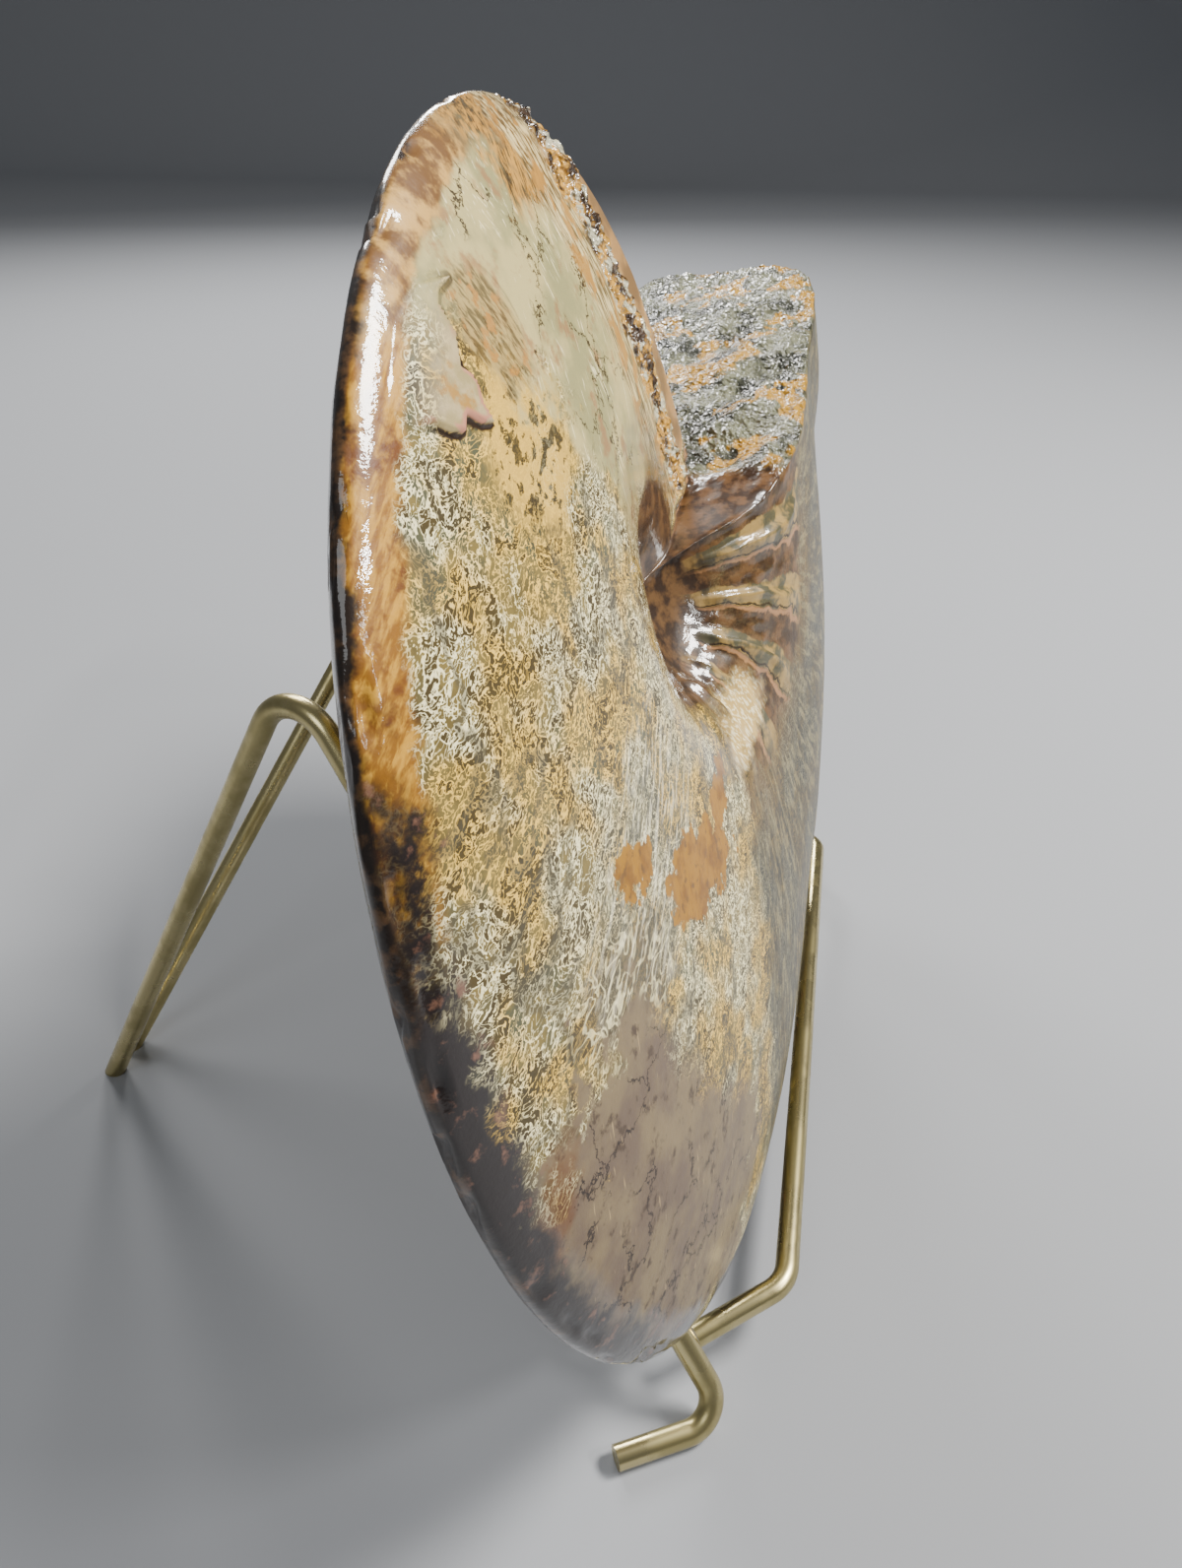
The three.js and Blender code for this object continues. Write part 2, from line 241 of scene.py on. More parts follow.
# The edge of the broken face stays sharp
crease = ammonite.data.attributes.new("crease_edge", "FLOAT", "EDGE")
on_edge = []
for vertex in ammonite.data.vertices:
    angle, _, height, _ = place_on_coil(vertex.co)
    skew = BREAK_SKEW * max(-height, 0)
    on_edge.append(abs(angle - skew - BREAK_ANGLE) < 0.2)
for edge in ammonite.data.edges:
    if all(on_edge[v] for v in edge.vertices):
        crease.data[edge.index].value = 0.75
bpy.ops.object.modifier_add(type="SUBSURF")
ammonite.modifiers[-1].levels = 2
ammonite.modifiers[-1].render_levels = 2
bpy.ops.object.modifier_apply(modifier=ammonite.modifiers[-1].name)


def inside_flake(point):
    """Distance inside the edge of the raised flake of shell; negative outside it."""
    spot = to_disc @ point / MM
    if spot.y > 0 or not (-80 < spot.x < -38 and 40 < spot.z < 70):
        return -FLAKE_FAR
    place = Vector((spot.x, spot.z))
    nearest = FLAKE_FAR
    inside = False
    for start, end in zip(FLAKE_EDGE, FLAKE_EDGE[1:] + FLAKE_EDGE[:1]):
        first = Vector(start)
        side = Vector(end) - first
        along = min(max((place - first).dot(side) / side.length_squared, 0), 1)
        nearest = min(nearest, (place - first - side * along).length)
        if (first.y > place.y) != (end[1] > place.y):
            crossing = first.x + (place.y - first.y) * side.x / side.y
            inside = inside != (place.x < crossing)
    return nearest if inside else -nearest


def on_ridge(vertex):
    _, share, _, past_line = place_on_coil(vertex.co)
    return -12 < past_line < 5 and share > 0.3


def on_face(vertex):
    angle, share, _, _ = place_on_coil(vertex.co)
    return BREAK_ANGLE - 1.5 < angle < BREAK_ANGLE + 7 and share > 0.15


def on_flake_edge(vertex):
    return abs(inside_flake(vertex.co)) < 1.6


# Finer faces on the two breaks, for their crystals, and along the edge of the flake
bpy.ops.object.mode_set(mode="EDIT")
bpy.ops.mesh.select_mode(type="VERT")
bpy.ops.object.mode_set(mode="OBJECT")
for place_test, cuts in ((on_ridge, 1), (on_face, 1), (on_flake_edge, 3)):
    pick_vertices(ammonite, place_test)
    bpy.ops.object.mode_set(mode="EDIT")
    bpy.ops.mesh.subdivide(number_cuts=cuts, smoothness=1)
    bpy.ops.object.mode_set(mode="OBJECT")


def crystals(spot, crust):
    """Height of a crust of rounded crystals, each kind given by its height and its size."""
    total = 0
    for height, size in crust:
        near, next_near = noise.voronoi(spot / size)[0][:2]
        total += height * min((next_near - near) * 1.4, 1)
    return total


def relief(vertex):
    """Height over the smooth shell, and how far the place lies on the two breaks."""
    spot = to_disc @ vertex.co / MM
    angle, share, _, past_line = place_on_coil(vertex.co)
    normal = to_disc.to_3x3() @ vertex.normal
    turn = math.radians(angle)
    forward = Vector((-math.cos(turn), 0, -math.sin(turn)))
    dents = DENT_HEIGHT * noise.noise(spot / DENT_SIZE)
    dents += RIPPLE_HEIGHT * noise.noise(spot / RIPPLE_SIZE)

    edge = past_line + 5 * noise.noise(spot / 6)
    ridge = smooth(edge, -11, -8) * smooth(past_line, 4.5, 1.5) * smooth(share, 0.3, 0.45)
    rough = ridge * (crystals(spot, RIDGE_CRUST) - RIDGE_SINK)

    broken = smooth(forward.dot(normal), 0.35, 0.75) if angle > 270 else 0
    ledges = noise.ridged_multi_fractal(spot / LEDGE_SIZE, 0.9, 2.0, 3, 1.0, 2.0) - LEDGE_SINK
    glassy = smooth(noise.noise(spot / 13 + Vector((3, 1, 7))), -0.35, 0)
    face = broken * smooth(share, 0.15, 0.25) * (ledges + glassy * crystals(spot, FACE_CRUST))

    wall = smooth(share, 0.11, 0.13) * smooth(share, 0.3, 0.22) * smooth(angle, 150, 190)
    chamber = (angle + 2 * noise.noise(spot / 7) - CHAMBER_WALL) / CHAMBER_ANGLE % 1
    lip = LIP_HEIGHT * chamber ** 3 * smooth(chamber, 1, 0.94)
    walls = wall * (1 - broken) * (lip + LIP_CHIPS * noise.noise(spot / 1.9))

    keel = smooth(share, 0.95, 1.0)
    nick = smooth(noise.noise(spot / 3.4 + Vector((9, 0, 0))), 0.28, 0.5)
    fine = smooth(share, 0.12, 0.25) * (dents - NICK_DEPTH * nick * keel * (1 - broken))
    flake = FLAKE_HEIGHT * smooth(inside_flake(vertex.co), -0.15, 0.15) * smooth(share, 0.97, 0.86)
    return (fine + rough + face + walls + flake) * MM, broken, ridge


# Each vertex moves along its normal, and keeps its place on the smooth shell as attributes
places = []
breaks = []
flake_edges = []
moved_places = []
for vertex in ammonite.data.vertices:
    rise, broken, ridge = relief(vertex)
    angle, share, height, past_line = place_on_coil(vertex.co)
    places += [angle, share, height]
    breaks += [broken, ridge, past_line]
    flake_edges.append(inside_flake(vertex.co))
    moved_places.append(vertex.co + vertex.normal * rise)
for vertex, moved_place in zip(ammonite.data.vertices, moved_places, strict=True):
    vertex.co = moved_place
for name, kind, field, values in (
    ("place_on_coil", "FLOAT_VECTOR", "vector", places),
    ("breaks", "FLOAT_VECTOR", "vector", breaks),
    ("flake_edge", "FLOAT", "value", flake_edges),
):
    ammonite.data.attributes.new(name, kind, "POINT").data.foreach_set(field, values)
bpy.ops.object.mode_set(mode="EDIT")
bpy.ops.mesh.select_all(action="SELECT")
bpy.ops.mesh.normals_make_consistent(inside=False)
bpy.ops.object.mode_set(mode="OBJECT")
bpy.ops.object.shade_smooth()
ammonite.data.materials.clear()
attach(ammonite, "root")
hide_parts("ammonite")


class Finish:
    """A material that is being made: each call adds a node and gives its result."""

    def __init__(self, name):
        self.material = bpy.data.materials.new(name)
        self.material.use_nodes = True
        self.tree = self.material.node_tree
        self.shader = self.tree.nodes["Principled BSDF"]
        self.at = self.add("TexCoord", {}).outputs["Object"]

    def add(self, kind, inputs, **settings):
        made = self.tree.nodes.new("ShaderNode" + kind)
        for key, value in settings.items():
            setattr(made, key, value)
        for socket, value in inputs.items():
            self.feed(made.inputs[socket], value)
        return made

    def feed(self, socket, value):
        if isinstance(value, bpy.types.NodeSocket):
            self.tree.links.new(value, socket)
        else:
            socket.default_value = value

    def maths(self, operation, *values):
        return self.add("Math", dict(enumerate(values)), operation=operation).outputs[0]

    def vectors(self, operation, *values):
        made = self.add("VectorMath", dict(enumerate(values)), operation=operation)
        return made.outputs["Value"] if operation == "LENGTH" else made.outputs[0]

    def times(self, *values):
        product = values[0]
        for value in values[1:]:
            product = self.maths("MULTIPLY", product, value)
        return product

    def greatest(self, *values):
        top = values[0]
        for value in values[1:]:
            top = self.maths("MAXIMUM", top, value)
        return top

    def rise(self, value, low, high):
        """0 up to low, 1 from high on and a smooth slope between; low may be the greater."""
        inputs = {"Value": value, "From Min": low, "From Max": high}
        return self.add("MapRange", inputs, interpolation_type="SMOOTHSTEP").outputs["Result"]

    def within(self, value, low, high, soft):
        over = self.rise(value, low - soft, low + soft)
        return self.times(over, self.rise(value, high + soft, high - soft))

    def grain(self, at, size, detail=2.0, roughness=0.5, swirl=0.0):
        inputs = {"Vector": at, "Scale": 1 / size, "Detail": detail, "Roughness": roughness}
        return self.add("TexNoise", {**inputs, "Distortion": swirl}).outputs["Fac"]

    def line(self, value, level, width):
        """1 along the line where the value passes the level, and 0 from its width on."""
        away = self.maths("ABSOLUTE", self.maths("SUBTRACT", value, level))
        return self.rise(away, width, width * 0.3)

    def mix(self, share, first, second):
        return self.add("Mix", {0: share, 6: first, 7: second}, data_type="RGBA").outputs[2]

    def moved(self, at, turn=(0, 0, 0), stretch=(1, 1, 1), shift=(0, 0, 0)):
        angles = [math.radians(value) for value in turn]
        inputs = {"Vector": at, "Location": shift, "Rotation": angles, "Scale": stretch}
        return self.add("Mapping", inputs, vector_type="TEXTURE").outputs[0]

    def attribute(self, name):
        vector = self.add("Attribute", {}, attribute_name=name).outputs["Vector"]
        return self.add("SeparateXYZ", {0: vector}).outputs


def tone(code):
    """A colour from its screen code, two hexadecimal digits each for red, green and blue."""
    parts = [int(code[i:i + 2], 16) / 255 for i in (0, 2, 4)]
    return (*[((part + 0.055) / 1.055) ** 2.4 for part in parts], 1)


# The polish: mother-of-pearl, the frills of the chamber walls and the stone in the breaks, under
# a clear gloss. Places are millimetres along and up from the coil's axis, or angles and shares
# of the radius on the coil.
shell = Finish("polished_shell")
on_disc = {"Location": coil_centre, "Rotation": disc_turn, "Scale": (MM, MM, MM)}
spot = shell.add("Mapping", {"Vector": shell.at, **on_disc}, vector_type="TEXTURE").outputs[0]
angle, share, height = shell.attribute("place_on_coil")
broken, ridge, past_line = shell.attribute("breaks")
front = shell.rise(height, -0.5, 0.5)
radius = shell.vectors("LENGTH", shell.vectors("MULTIPLY", spot, (1, 0, 1)))

shake = shell.add("TexNoise", {"Vector": spot, "Scale": 1 / 4, "Detail": 4, "Roughness": 0.65})
shaken = shell.vectors("SUBTRACT", shake.outputs["Color"], (0.5, 0.5, 0.5))
ragged = shell.vectors("MULTIPLY_ADD", shaken, (9, 9, 9), spot)
wander = shell.maths("SUBTRACT", shell.grain(spot, 7, 4, 0.6), 0.5)
ragged_angle = shell.maths("MULTIPLY_ADD", wander, 34, angle)
ragged_share = shell.maths("MULTIPLY_ADD", wander, 0.10, share)
ragged_line = shell.maths("MULTIPLY_ADD", wander, 9, past_line)


def patch(at, half_size, turn=0, soft=0.12, bays=0.6):
    """1 inside a ragged oval on the front flank, whose outline runs in and out in bays."""
    reach = (half_size[0], 60, half_size[1])
    place = shell.moved(ragged, (0, -turn, 0), reach, (at[0], 0, at[1]))
    edge = shell.maths("MULTIPLY_ADD", wander, bays, shell.vectors("LENGTH", place))
    return shell.times(shell.rise(edge, 1 + soft, 1 - soft), front)


def blotches(size, low, high, detail=4, roughness=0.6, swirl=0.0):
    """0 to 1 in soft blotches of about this size."""
    return shell.rise(shell.grain(spot, size, detail, roughness, swirl), low, high)


# The ground of the flank: brown, olive and grey
clouds = shell.grain(spot, 20, 3, 0.55)
mottle = shell.grain(spot, 3.5, 4, 0.6)
colour = shell.mix(shell.rise(clouds, 0.38, 0.62), tone("64562f"), tone("50513c"))
colour = shell.mix(shell.rise(mottle, 0.42, 0.6), colour, tone("786838"))

# The frills of the chamber walls, cut through by the polish: cream and gold lines round lobes
drawn = shell.moved(spot, (0, -23, 0), (1.25, 1, 0.85))
large = shell.grain(drawn, 6.5, 4.5, 0.64, 0.35)
small = shell.grain(drawn, 3.4, 3.5, 0.62, 0.5)
lobes = shell.rise(large, 0.49, 0.51)
frills = shell.greatest(*[shell.line(large, level, 0.015) for level in (0.42, 0.5, 0.58)])
small_frills = shell.greatest(*[shell.line(small, level, 0.016) for level in (0.41, 0.5, 0.6)])
gilding = blotches(13, 0.42, 0.58, 2, 0.5)
cream = shell.mix(gilding, tone("fff4be"), tone("efc458"))
colour = shell.mix(shell.times(lobes, 0.85), colour, tone("3e331c"))
colour = shell.mix(shell.times(small_frills, 0.6), colour, cream)
colour = shell.mix(frills, colour, cream)
trunks = shell.line(shell.grain(drawn, 24, 4, 0.5, 0.2), 0.5, 0.02)
colour = shell.mix(shell.times(trunks, 0.65), colour, tone("4a4638"))
cells = {"Vector": ragged, "Scale": 1 / 13}
cell_edges = shell.add("TexVoronoi", cells, feature="DISTANCE_TO_EDGE").outputs["Distance"]
opened = blotches(12, 0.42, 0.52, 2, 0.5)
cracks = shell.times(shell.rise(cell_edges, 0.022, 0.007), opened)

# A place where the frills are coarse, as cream loops on brown
loops = shell.line(shell.grain(drawn, 3.2, 1.5, 0.5, 0.9), 0.5, 0.05)
loop_tone = shell.mix(loops, tone("4d4029"), tone("f2e6b0"))
colour = shell.mix(shell.times(patch((-75, -25), (15, 9), -15, 0.4), 0.8), colour, loop_tone)

# A grey-blue field with white streaks that run round the umbilicus
streaks = shell.grain(shell.moved(spot, (0, -30, 0), (7, 1, 1)), 1.1, 3, 0.6, 0.3)
field = patch((-58, -16), (26, 15), 15, 0.35)
field_colour = shell.mix(shell.rise(streaks, 0.5, 0.6), tone("55574c"), tone("f3ecd0"))
colour = shell.mix(shell.times(field, 0.4), colour, field_colour)

# Gold with dark stars beside the flake
stars = shell.rise(shell.grain(drawn, 2.9, 5, 0.68, 0.2), 0.53, 0.56)
gold = shell.mix(stars, tone("deb44e"), tone("3a311f"))
gold_zone = patch((-50, 43), (14, 11), 30, 0.3)
colour = shell.mix(shell.times(gold_zone, 0.85), colour, gold)

# The smooth pearl by the ridge, scratched along it
pearl_zone = shell.times(shell.within(ragged_angle, -65, 43, 4), shell.rise(ragged_share, 0.22, 0.3))
scratches = shell.grain(shell.moved(spot, (0, -25, 0), (1, 1, 26)), 0.5, 2, 0.5, 0.1)
crossed = shell.grain(shell.moved(spot, (0, 12, 0), (1, 1, 40)), 0.6, 2, 0.5)
worn = blotches(11, 0.5, 0.64, 3)
pearl_clouds = blotches(14, 0.4, 0.62)
pearl = shell.mix(pearl_clouds, tone("c0b078"), tone("989264"))
pearl = shell.mix(shell.times(shell.rise(scratches, 0.56, 0.68), worn, 0.9), pearl, tone("fff2be"))
pearl = shell.mix(shell.times(shell.rise(crossed, 0.66, 0.72), 0.8), pearl, tone("f5e8b4"))
blots = blotches(8, 0.53, 0.64, 5, 0.65)
pearl = shell.mix(shell.times(blots, 0.7), pearl, tone("93663f"))
pearl = shell.mix(cracks, pearl, tone("3f3422"))
colour = shell.mix(pearl_zone, colour, pearl)

# The smooth mauve-brown below, with long dark cracks
lower_zone = shell.times(shell.within(ragged_angle, 109, 158, 2), shell.rise(ragged_share, 0.62, 0.7))
lower = shell.mix(blotches(12, 0.35, 0.65), tone("7a6a4e"), tone("625244"))
lower = shell.mix(shell.times(shell.rise(crossed, 0.68, 0.74), 0.6), lower, tone("b49c70"))
lower = shell.mix(blotches(4, 0.56, 0.68, 5, 0.65), lower, tone("47392c"))
lower = shell.mix(cracks, lower, tone("2b211a"))
colour = shell.mix(lower_zone, colour, lower)

# Rust and orange stone
orange = shell.mix(shell.rise(mottle, 0.4, 0.65), tone("986a00"), tone("784e00"))
orange = shell.mix(blotches(2.2, 0.56, 0.66), orange, tone("664616"))
rust = shell.greatest(
    patch((-65, -14), (7.4, 3.8), -22, 0.06, 2.6),
    patch((-42, -30), (16, 7.6), -19, 0.06, 2.6),
    patch((-21, -28), (9, 3.4), 10, 0.06, 2.6),
)
colour = shell.mix(rust, colour, orange)
colour = shell.mix(shell.times(patch((-102, -39), (9, 4), 60, 0.4), 0.7), colour, tone("5f3b1e"))

# The far flank: grey-green and fibrous towards the rim, tan towards the umbilicus
along_coil = shell.add("CombineXYZ", {"X": angle, "Y": share, "Z": height}).outputs[0]
stretched = shell.vectors("MULTIPLY", along_coil, (0.5, 12, 0.5))
fibres = shell.grain(stretched, 0.8, 4, 0.6, 0.2)
far_zone = shell.within(ragged_angle, 165, 300, 5)
far_tone = shell.mix(shell.rise(ragged_share, 0.26, 0.42), tone("604a26"), tone("202117"))
far_tone = shell.mix(shell.times(shell.rise(fibres, 0.5, 0.62), 0.85), far_tone, tone("776d49"))
far_tone = shell.mix(blotches(2, 0.56, 0.66), far_tone, tone("2a2418"))
colour = shell.mix(shell.times(far_zone, 0.85), colour, far_tone)

# The rim: dark brown along the keel and painted shade on its back side, brown and then amber on the
# near shoulder, dark purple-brown below with painted shade over it
amber = shell.mix(shell.rise(streaks, 0.4, 0.62), tone("8c5c14"), tone("c8942f"))
amber = shell.mix(blotches(5, 0.5, 0.65), amber, tone("6b3d12"))
russet = shell.mix(blotches(4, 0.42, 0.62), tone("6f4c24"), tone("d0a356"))
# The lower rim's purple-brown is partly its own colour and partly painted shade where the light falls
# off
rim_dark_and_shade = shell.mix(shell.rise(mottle, 0.56, 0.7), tone("1a1210"), tone("6c4c3c"))
near_rim = shell.rise(shell.maths("MULTIPLY_ADD", wander, 0.06, share), 0.93, 0.95)
upper_rim = shell.times(near_rim, shell.rise(angle, 14, 26), shell.rise(ragged_angle, 88, 80))
colour = shell.mix(upper_rim, colour, shell.mix(shell.rise(ragged_angle, 44, 52), russet, amber))
low_rim = shell.rise(shell.maths("MULTIPLY_ADD", wander, 0.14, share), 0.93, 0.975)
colour = shell.mix(shell.times(low_rim, shell.rise(ragged_angle, 72, 86)), colour, rim_dark_and_shade)
# The keel's dark brown, laid over the rim's back half, is partly its own colour and partly painted
# shade on the side turned from the light
keel_wander = shell.maths("MULTIPLY_ADD", wander, 5, height)
keel_and_back_shade_zone = shell.times(shell.rise(share, 0.93, 0.97), shell.rise(keel_wander, 1.3, 0.1))
keel = shell.mix(shell.rise(mottle, 0.45, 0.62), tone("22170f"), tone("5e4329"))
colour = shell.mix(keel_and_back_shade_zone, colour, keel)

# The top: brown and orange fibres down to the ridge, then the smooth strip of the older whorl
top_fibres = shell.grain(shell.moved(spot, (0, 20, 0), (1, 1, 9)), 0.9, 4, 0.6, 0.2)
top_zone = shell.times(shell.rise(ragged_angle, 26, 16), shell.rise(ragged_share, 0.78, 0.84))
top = shell.mix(shell.rise(top_fibres, 0.4, 0.58), tone("382612"), tone("bf8a34"))
top = shell.mix(blotches(7, 0.52, 0.66), top, tone("6f4c24"))
colour = shell.mix(shell.times(top_zone, 0.9), colour, top)
strip = shell.mix(blotches(9, 0.4, 0.6, 3, 0.5), tone("a8814f"), tone("7b5f3c"))
colour = shell.mix(shell.rise(past_line, 2.5, 4), colour, strip)
beside = shell.within(ragged_line, -22, -7, 2)
band_fibres = shell.grain(shell.moved(spot, (0, -25, 0), (1, 1, 9)), 0.8, 4, 0.6, 0.3)
band = shell.mix(shell.rise(band_fibres, 0.42, 0.6), tone("5f4a27"), tone("e4cd92"))
band = shell.mix(blotches(6, 0.52, 0.6, 3), band, tone("b07f36"))
colour = shell.mix(shell.times(beside, 0.85), colour, band)
crust = shell.mix(blotches(5, 0.44, 0.56), tone("cf9a3a"), tone("3a2712"))
crust = shell.mix(blotches(4, 0.54, 0.6, 3, 0.6, 0.5), crust, tone("c9c3a4"))
colour = shell.mix(ridge, colour, crust)

# The stone laid bare beside the flake, and the split above it
bare = patch((-49, 56), (7, 8), 30, 0.25)
bare_tone = shell.mix(shell.rise(band_fibres, 0.4, 0.58), tone("4f3f24"), tone("ad945a"))
bare_tone = shell.mix(blotches(3, 0.54, 0.64), bare_tone, tone("a8742e"))
colour = shell.mix(shell.times(bare, 0.85), colour, bare_tone)
ring = shell.vectors("LENGTH", shell.moved(spot, (0, -30, 0), (8, 60, 9), (-49, 0, 56)))
split = shell.times(shell.line(ring, 1, 0.04), shell.rise(past_line, -55, -48), front)
colour = shell.mix(split, colour, tone("33281a"))

# The flake: thin pearly shell, pink where its edge is chipped, with a painted shadow in a dark band
# just outside its edge
flake = shell.add("Attribute", {}, attribute_name="flake_edge").outputs["Fac"]
thin_shell = shell.mix(shell.rise(mottle, 0.4, 0.62), tone("a08f62"), tone("b7a47a"))
thin_shell = shell.mix(blotches(5, 0.55, 0.66), thin_shell, tone("a87f3c"))
chipped = shell.times(shell.rise(flake, 1.1, 0.5), blotches(5, 0.4, 0.5, 2, 0.5))
thin_shell = shell.mix(chipped, thin_shell, tone("b98068"))
on_flake = shell.times(shell.rise(flake, -0.1, 0.05), shell.rise(share, 0.93, 0.87))
# Painted shadow: the raised flake's shadow, a dark band just outside its edge
flake_shadow_band = shell.times(shell.within(flake, -0.8, 0, 0.2), shell.rise(share, 0.93, 0.87))
colour = shell.mix(on_flake, colour, thin_shell)
colour = shell.mix(flake_shadow_band, colour, tone("2a1d12"))

# The umbilicus: dark brown in the groove, brown shell left on the chamber walls
groove = shell.mix(shell.rise(mottle, 0.4, 0.65), tone("2c1d10"), tone("5f4426"))
groove_edge = shell.mix(shell.rise(angle, -20, 0), (32, 32, 32, 1), (21, 21, 21, 1))
colour = shell.mix(shell.rise(radius, groove_edge, 19), colour, groove)
wall_zone = shell.within(ragged_share, 0.115, 0.3, 0.02)
wall_zone = shell.times(shell.rise(ragged_angle, 180, 200), wall_zone)
from_wall = shell.maths("MULTIPLY_ADD", wander, 10, angle)
from_wall = shell.maths("SUBTRACT", from_wall, CHAMBER_WALL - 2 * 360)
chamber = shell.maths("FRACT", shell.maths("DIVIDE", from_wall, CHAMBER_ANGLE))
wall_tone = shell.mix(blotches(5, 0.42, 0.58, 3), tone("4a4a38"), tone("a3864c"))
wall_shell = shell.mix(shell.rise(mottle, 0.4, 0.62), tone("33200f"), tone("67482a"))
wall_tone = shell.mix(shell.within(chamber, 0.45, 0.98, 0.02), wall_tone, wall_shell)
wall_tone = shell.mix(shell.within(chamber, 0.9, 0.97, 0.02), wall_tone, tone("a87a50"))
# Painted shadow: a dark line just past each chamber wall, under its raised lip
wall_tone = shell.mix(shell.rise(chamber, 0.06, 0.02), wall_tone, tone("1f150c"))
colour = shell.mix(shell.times(wall_zone, 0.85), colour, wall_tone)
swirl = patch((5, -28), (12, 6), 10, 0.3)
swirl_tone = shell.mix(shell.rise(scratches, 0.48, 0.62), tone("cfae68"), tone("fff0c0"))
colour = shell.mix(swirl, colour, swirl_tone)

# The broken face: grey-green crystal with orange in its hollows, dark shell at its foot
face_clouds = blotches(9, 0.4, 0.6)
face_tone = shell.mix(face_clouds, tone("25271a"), tone("74755c"))
amber_veins = blotches(11, 0.52, 0.58, 3, 0.55, 0.4)
face_tone = shell.mix(amber_veins, face_tone, tone("b4840a"))
face_tone = shell.mix(shell.rise(ragged_share, 0.26, 0.22), face_tone, wall_shell)
colour = shell.mix(broken, colour, face_tone)

# Gloss: a hard polish on the rim and the crystals, a softer one on the flanks
FACET_SIZE = 1.8
wet = shell.times(broken, 0.8)
hard = shell.greatest(near_rim, ridge, wet, keel_and_back_shade_zone, shell.rise(radius, 36, 30))
shell.feed(shell.shader.inputs["Base Color"], colour)
shell.feed(shell.shader.inputs["Coat Weight"], shell.maths("MULTIPLY_ADD", hard, 0.84, 0.16))
shell.shader.inputs["Roughness"].default_value = 0.42
shell.shader.inputs["Specular IOR Level"].default_value = 0.2
shell.shader.inputs["Coat Roughness"].default_value = 0.05
grit = shell.greatest(shell.times(broken, shell.rise(share, 0.2, 0.28)), ridge)
facet = {"Vector": spot, "Scale": 1 / FACET_SIZE, "Detail": 1.0}
facets = shell.add("TexVoronoi", facet).outputs["Distance"]
coarse = shell.add("Bump", {"Strength": grit, "Distance": 0.0012, "Height": facets})
fine = {"Strength": 0.35, "Distance": 0.0004, "Height": mottle, "Normal": coarse.outputs[0]}
pits = shell.add("Bump", fine)
for socket in ("Normal", "Coat Normal"):
    shell.feed(shell.shader.inputs[socket], pits.outputs[0])
ammonite.data.materials.append(shell.material)


# ----------------------------------------------------------------------------------------------
# The stand: three brass wires, bent cold and brazed where they touch. Each runs through the
# bends of its own node and is cut level with the table.
WIRE_RADIUS = 2.4
WIRE_REST = 2.15  # height of the middle of a wire that lies down
CUT_END = -1  # height that a rear leg runs on to before it is cut level
FOOT_BEND = 6
LOOP_BEND = 9.9
RAIL_BEND = 8
BEND_STEP = math.radians(6)


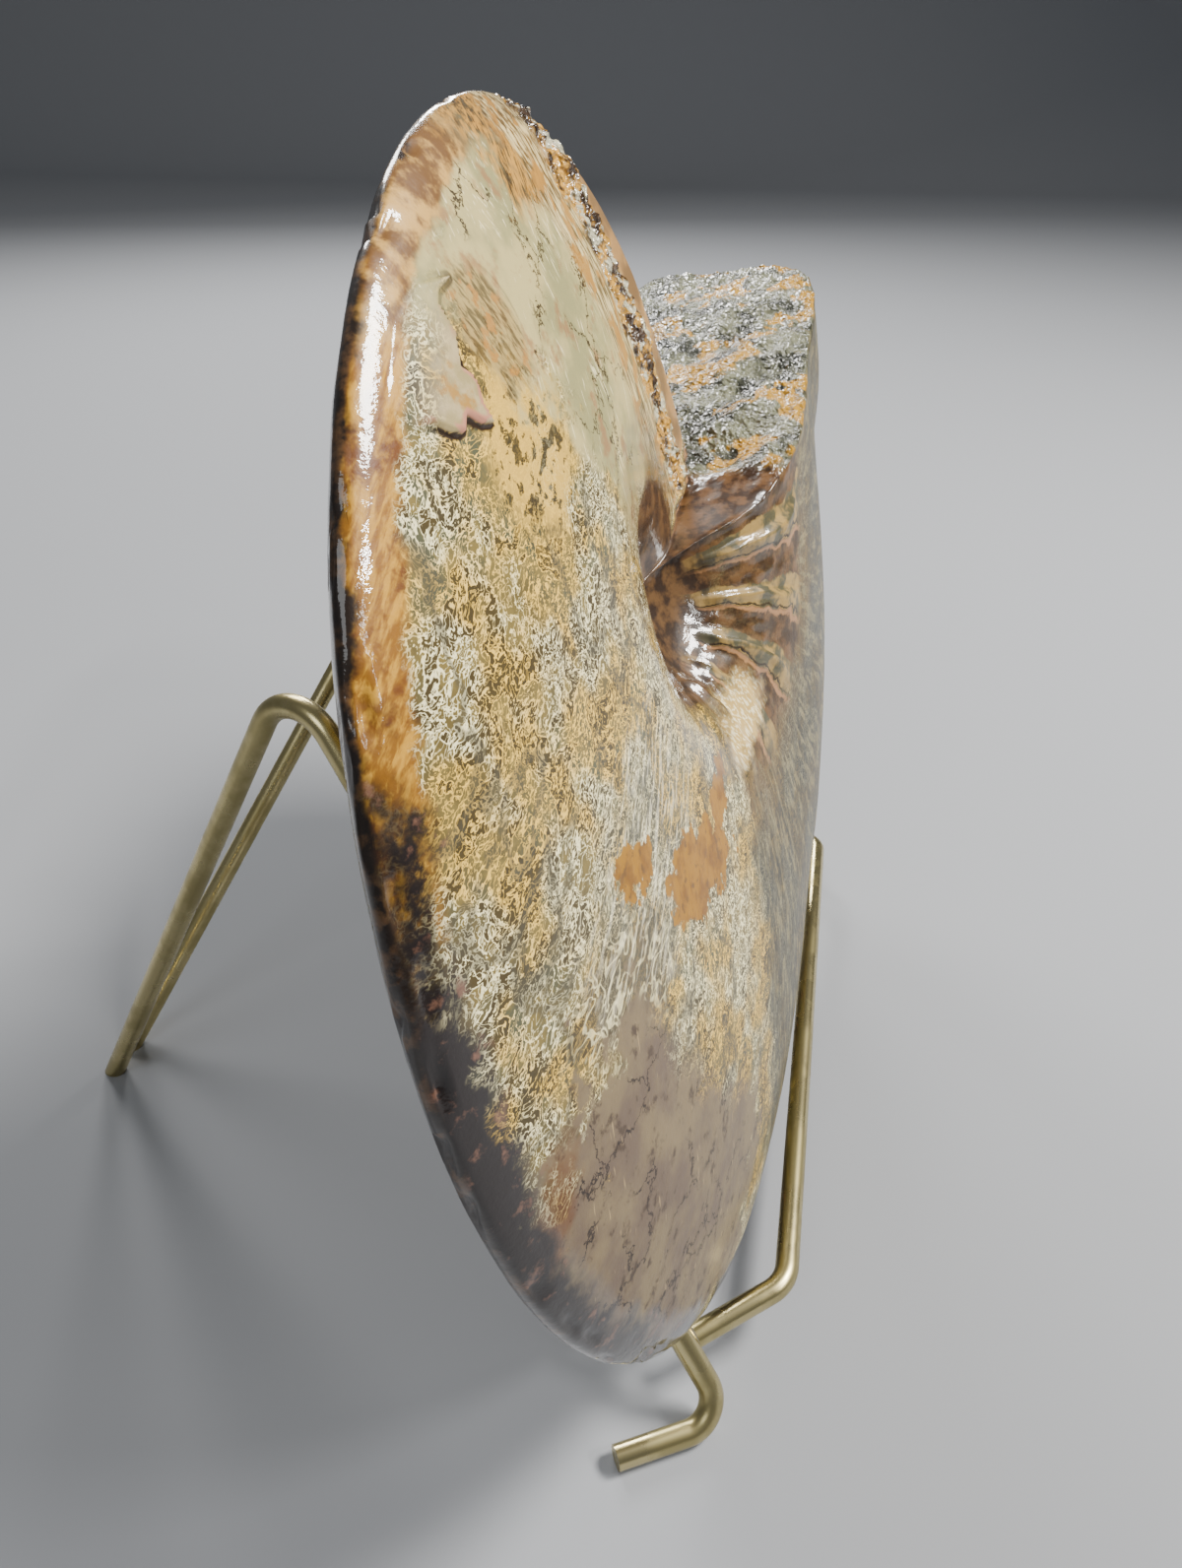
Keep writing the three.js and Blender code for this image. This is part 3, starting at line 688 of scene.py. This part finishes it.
def bent_wire(name, node, corners):
    """A round wire through corners given as (x, y, z, radius of the bend), in millimetres from
    the near front foot's bend."""
    points = []
    for i, (x, y, z, bend) in enumerate(corners):
        here = Vector((x, y, z))
        if not bend:
            points.append(here)
            continue
        back = (Vector(corners[i - 1][:3]) - here).normalized()
        on = (Vector(corners[i + 1][:3]) - here).normalized()
        half = back.angle(on) / 2
        centre = here + (back + on).normalized() * bend / math.sin(half)
        start = here + back * bend / math.tan(half) - centre
        end = here + on * bend / math.tan(half) - centre
        axis = start.cross(end).normalized()
        sweep = start.angle(end)
        steps = math.ceil(sweep / BEND_STEP)
        for k in range(steps + 1):
            points.append(Matrix.Rotation(sweep * k / steps, 3, axis) @ start + centre)
    pick_nothing()
    line = bpy.data.curves.new(name, "CURVE")
    line.dimensions = "3D"
    run = line.splines.new("POLY")
    run.points.add(len(points) - 1)
    for knot, point in zip(run.points, points):
        knot.co = (point * MM + stand_origin).to_4d()
    line.bevel_depth = WIRE_RADIUS * MM
    line.bevel_resolution = 8
    line.use_fill_caps = True
    wire = bpy.data.objects.new(name, line)
    bpy.context.scene.collection.objects.link(wire)
    bpy.context.view_layer.objects.active = wire
    wire.select_set(True)
    bpy.ops.object.convert(target="MESH")
    wire = bpy.context.object
    bpy.ops.object.mode_set(mode="EDIT")
    bpy.ops.mesh.select_all(action="SELECT")
    bpy.ops.mesh.remove_doubles(threshold=0.00001)
    table = {"plane_co": (0, 0, 0), "plane_no": (0, 0, 1), "threshold": 1e-6}
    bpy.ops.mesh.bisect(**table, use_fill=True, clear_inner=True)
    bpy.ops.mesh.select_all(action="SELECT")
    bpy.ops.mesh.normals_make_consistent(inside=False)
    bpy.ops.object.mode_set(mode="OBJECT")
    bpy.ops.object.shade_smooth_by_angle(angle=math.radians(40))
    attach(wire, "root")
    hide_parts(node)
    return wire


wires = [
    bent_wire("near_frame_wire", "near_side_frame", [
        (-11.5, 19.8, WIRE_REST, 0), (0, 0, WIRE_REST, FOOT_BEND),
        (48.2, 92.3, 128.9, LOOP_BEND), (61.4, 164.7, CUT_END, 0)]),
    bent_wire("far_frame_wire", "far_side_frame", [
        (209.5, 11.2, WIRE_REST, 0), (197, -8, WIRE_REST, FOOT_BEND),
        (150, 98.3, 127, LOOP_BEND), (69.2, 165.2, CUT_END, 0)]),
    bent_wire("front_rail_wire", "front_rail", [
        (9.7, 8.3, 11.2, 0), (23.1, -8.4, 13.8, RAIL_BEND),
        (179.5, -8.4, 13.8, RAIL_BEND), (187.9, 0.8, 11.2, 0)]),
]

brass = Finish("drawn_brass")
tarnish = brass.rise(brass.grain(brass.at, 0.012, 4, 0.6), 0.42, 0.62)
brass.feed(brass.shader.inputs["Base Color"], brass.mix(tarnish, tone("cdbf8c"), tone("b3a675")))
brass.shader.inputs["Metallic"].default_value = 1
brass.feed(brass.shader.inputs["Roughness"], brass.maths("MULTIPLY_ADD", tarnish, 0.1, 0.26))
for wire in wires:
    wire.data.materials.append(brass.material)
